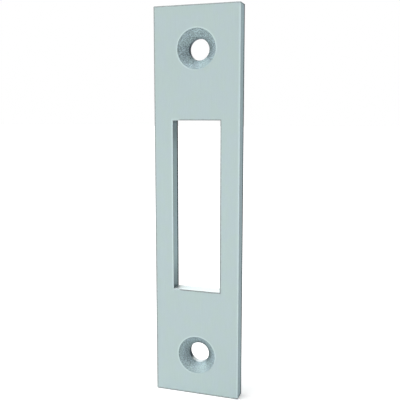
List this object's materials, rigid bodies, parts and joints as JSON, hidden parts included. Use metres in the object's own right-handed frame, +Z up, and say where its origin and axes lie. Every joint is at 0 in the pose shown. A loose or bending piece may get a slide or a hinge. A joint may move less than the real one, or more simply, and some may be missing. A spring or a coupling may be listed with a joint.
{
  "type": "door strike plate",
  "caption": "Flat upright steel strike plate with square ends, a long rectangular slot for the bolt and a countersunk screw hole near each end.",
  "frame": {"origin": "middle of the back face, halfway between the two screw holes and at the middle of the bolt slot", "axes": "+Z up along the plate's length, +X to the right across its width when the front is looked at, +Y out of the back face into the door frame; the countersunk front face looks towards -Y"},
  "size_m": [0.018, 0.003, 0.08],
  "materials": {
    "zinc_plated_steel": "satin"
  },
  "bodies": {
    "root": {"strike_plate": "zinc_plated_steel"}
  },
  "joints": []
}
